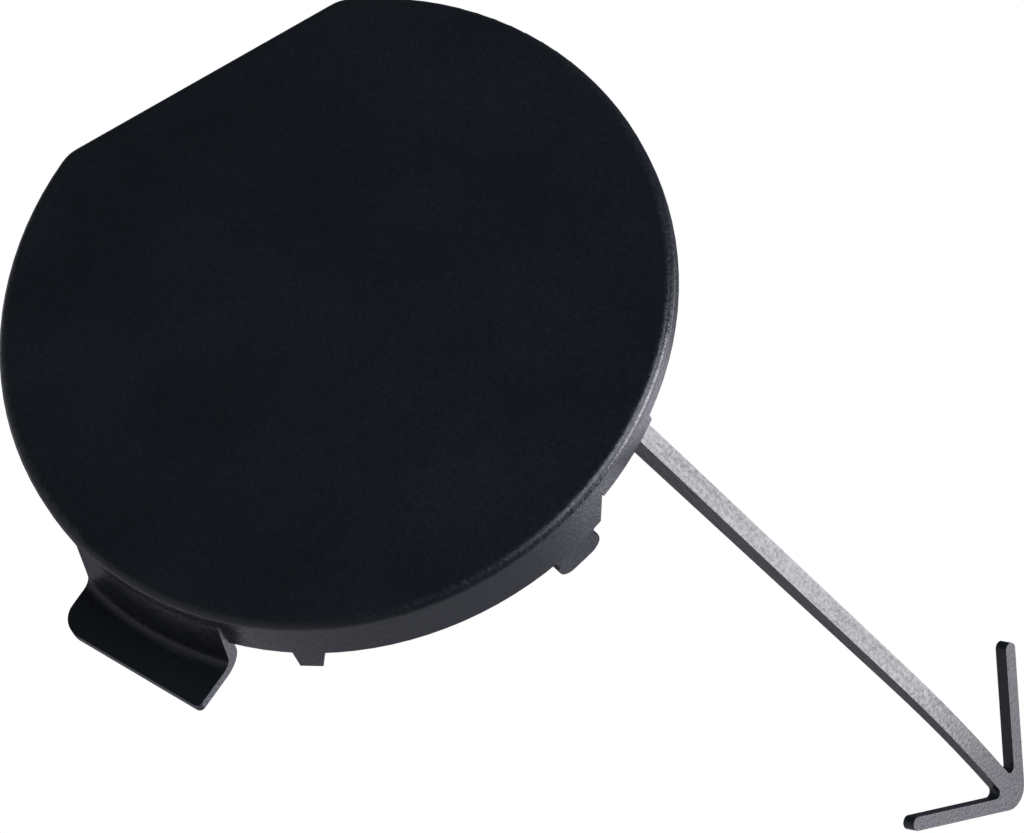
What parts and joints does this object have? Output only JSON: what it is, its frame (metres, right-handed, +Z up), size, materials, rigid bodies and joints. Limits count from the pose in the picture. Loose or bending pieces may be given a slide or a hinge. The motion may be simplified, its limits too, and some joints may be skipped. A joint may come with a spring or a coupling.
{
  "type": "tow hook cover",
  "caption": "Round bumper cap with one flat side, a hook tongue, snap clips and a strap that ends in a barbed anchor, closing a tow eye hole.",
  "frame": {"origin": "on the axis of the round face, in the plane of the seat at the back of the plate's edge", "axes": "+Y through the cover from its face to its back, +X to the right and +Z up as the face is seen, flat side towards -X"},
  "size_m": [0.0898, 0.062, 0.0823],
  "materials": {
    "cover": "black moulded plastic with a fine grain"
  },
  "bodies": {
    "root": {"cover": "cover"}
  },
  "joints": []
}
